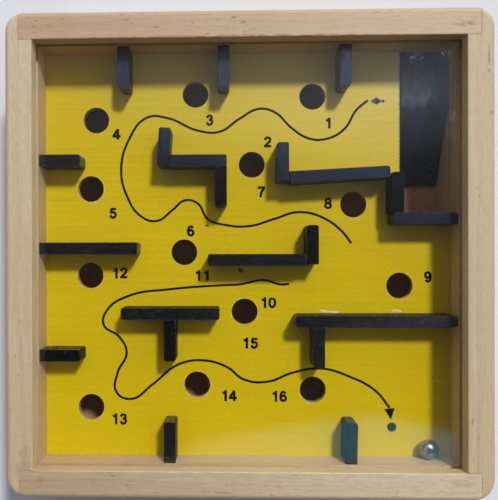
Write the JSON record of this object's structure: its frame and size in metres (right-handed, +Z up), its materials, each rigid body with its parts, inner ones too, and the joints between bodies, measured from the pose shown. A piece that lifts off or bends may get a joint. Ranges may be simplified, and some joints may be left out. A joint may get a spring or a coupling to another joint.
{
  "type": "tilt maze game",
  "caption": "Hand-held wooden tilt maze: box frame, clear cover, raised board with drop holes and guide strips, lower tray with return ramp, steel ball.",
  "frame": {"origin": "centre of the box's underside, on the surface that it lies on", "axes": "+Z up out of the playing face, +X to the player's right, +Y away from the player (the top of the picture)"},
  "size_m": [0.1524, 0.1524, 0.0381],
  "materials": {
    "pale_wood": "satin",
    "pink_wood": "satin",
    "clear_sheet": "gloss",
    "yellow_paint": "satin",
    "brown_hardboard": "matte",
    "dark_paint": "satin",
    "bright_steel": "polished"
  },
  "bodies": {
    "box": {"rail_left": "pale_wood", "rail_right": "pale_wood", "rail_far": "pink_wood", "rail_near": "pale_wood", "clear_cover": "clear_sheet", "playing_board": "yellow_paint", "lower_tray": "brown_hardboard", "return_ramp": "dark_paint", "stop_far_left": "dark_paint", "stop_far_middle": "dark_paint", "stop_far_right": "dark_paint", "stop_left_far": "dark_paint", "stop_left_middle": "dark_paint", "stop_left_near": "dark_paint", "stop_near_left": "dark_paint", "stop_near_right": "dark_paint", "step_post": "dark_paint", "step_bar": "dark_paint", "step_leg": "dark_paint", "gate_post": "dark_paint", "gate_bar": "dark_paint", "fence_side": "dark_paint", "fence_foot": "dark_paint", "hook_post": "dark_paint", "hook_bar": "dark_paint", "left_tee_bar": "dark_paint", "left_tee_leg": "dark_paint", "right_tee_bar": "dark_paint", "right_tee_leg": "dark_paint"},
    "steel_ball": {"ball": "bright_steel"}
  },
  "joints": [
    {"name": "ball_roll", "type": "slide", "parent": "box", "child": "steel_ball", "axis": [0, 1, 0], "range_m": [0, 0.0373]}
  ]
}
